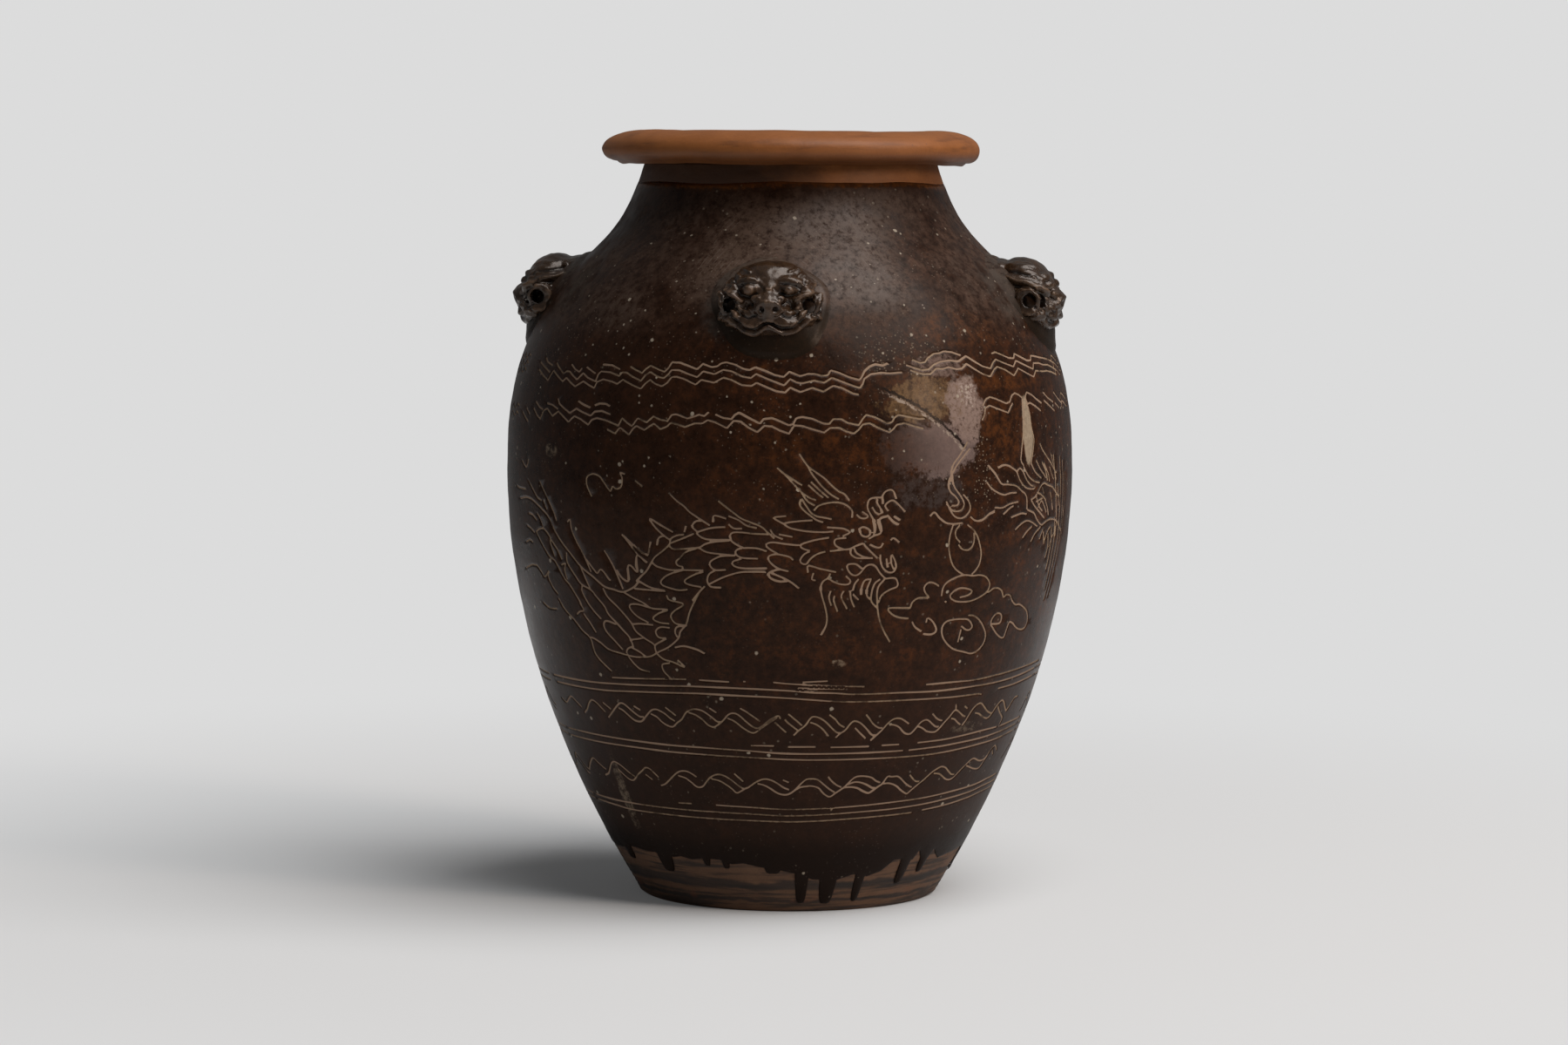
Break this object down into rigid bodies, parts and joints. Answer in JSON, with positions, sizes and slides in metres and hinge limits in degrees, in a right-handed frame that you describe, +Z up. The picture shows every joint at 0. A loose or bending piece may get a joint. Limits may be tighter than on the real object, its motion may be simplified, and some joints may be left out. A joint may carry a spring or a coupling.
{
  "type": "storage jar",
  "caption": "Glazed stoneware storage jar with a full shoulder, short neck, rolled rim, narrow bare foot, and pierced mask lugs on the shoulder for tying down a cover.",
  "frame": {"origin": "centre of the foot at the level it stands on", "axes": "+Z up along the jar's axis; -Y towards the front mask lug's side of the jar; +X to the right as seen from the front"},
  "size_m": [0.3859, 0.386, 0.52],
  "materials": {
    "bare_clay": "bare brown stoneware, smeared at the foot and thrown rings inside",
    "neck_clay": "bare stoneware that fired orange brown",
    "rim_clay": "bare orange stoneware, worn smooth",
    "brown_glaze": "glossy dark brown glaze, amber where thin, cut through to pale clay by incised lines",
    "lug_clay": "dark moulded clay with a thin uneven sheen",
    "mound_clay": "grey brown luted clay under thin glaze"
  },
  "bodies": {
    "root": {"base_slab": "bare_clay", "lower_wall": "bare_clay", "shoulder_wall": "bare_clay", "neck_coil": "neck_clay", "rolled_rim": "rim_clay", "glaze_coat": "brown_glaze", "front_lug": "lug_clay", "right_lug": "lug_clay", "back_lug": "lug_clay", "left_lug": "lug_clay", "front_lug_mound": "mound_clay", "right_lug_mound": "mound_clay", "back_lug_mound": "mound_clay", "left_lug_mound": "mound_clay"}
  },
  "joints": []
}
